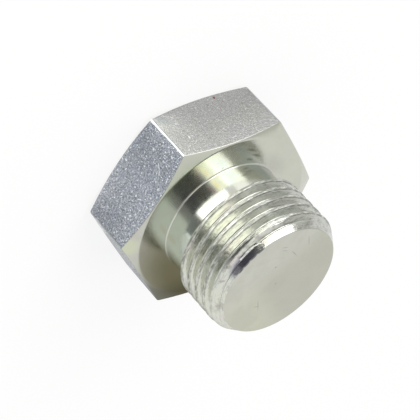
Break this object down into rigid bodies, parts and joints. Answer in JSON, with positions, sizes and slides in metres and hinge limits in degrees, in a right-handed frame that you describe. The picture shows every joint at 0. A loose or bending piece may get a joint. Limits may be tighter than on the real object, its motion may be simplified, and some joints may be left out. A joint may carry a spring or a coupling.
{
  "type": "hydraulic threaded plug",
  "caption": "Hexagon head screw plug with a flat sealing seat, a smooth neck and a straight fine thread that ends in a chamfered tip.",
  "frame": {"origin": "centre of the head's outer face, which the plug stands on", "axes": "+Z along the shank from the head to the tip, a corner of the hexagon towards -Y, a wrench flat towards +X"},
  "size_m": [0.024, 0.0276, 0.0204],
  "materials": {
    "zinc_plated_steel": "bright zinc plate, grainy on the wrench flats and polished on the turned faces"
  },
  "bodies": {
    "root": {"threaded_plug": "zinc_plated_steel"}
  },
  "joints": []
}
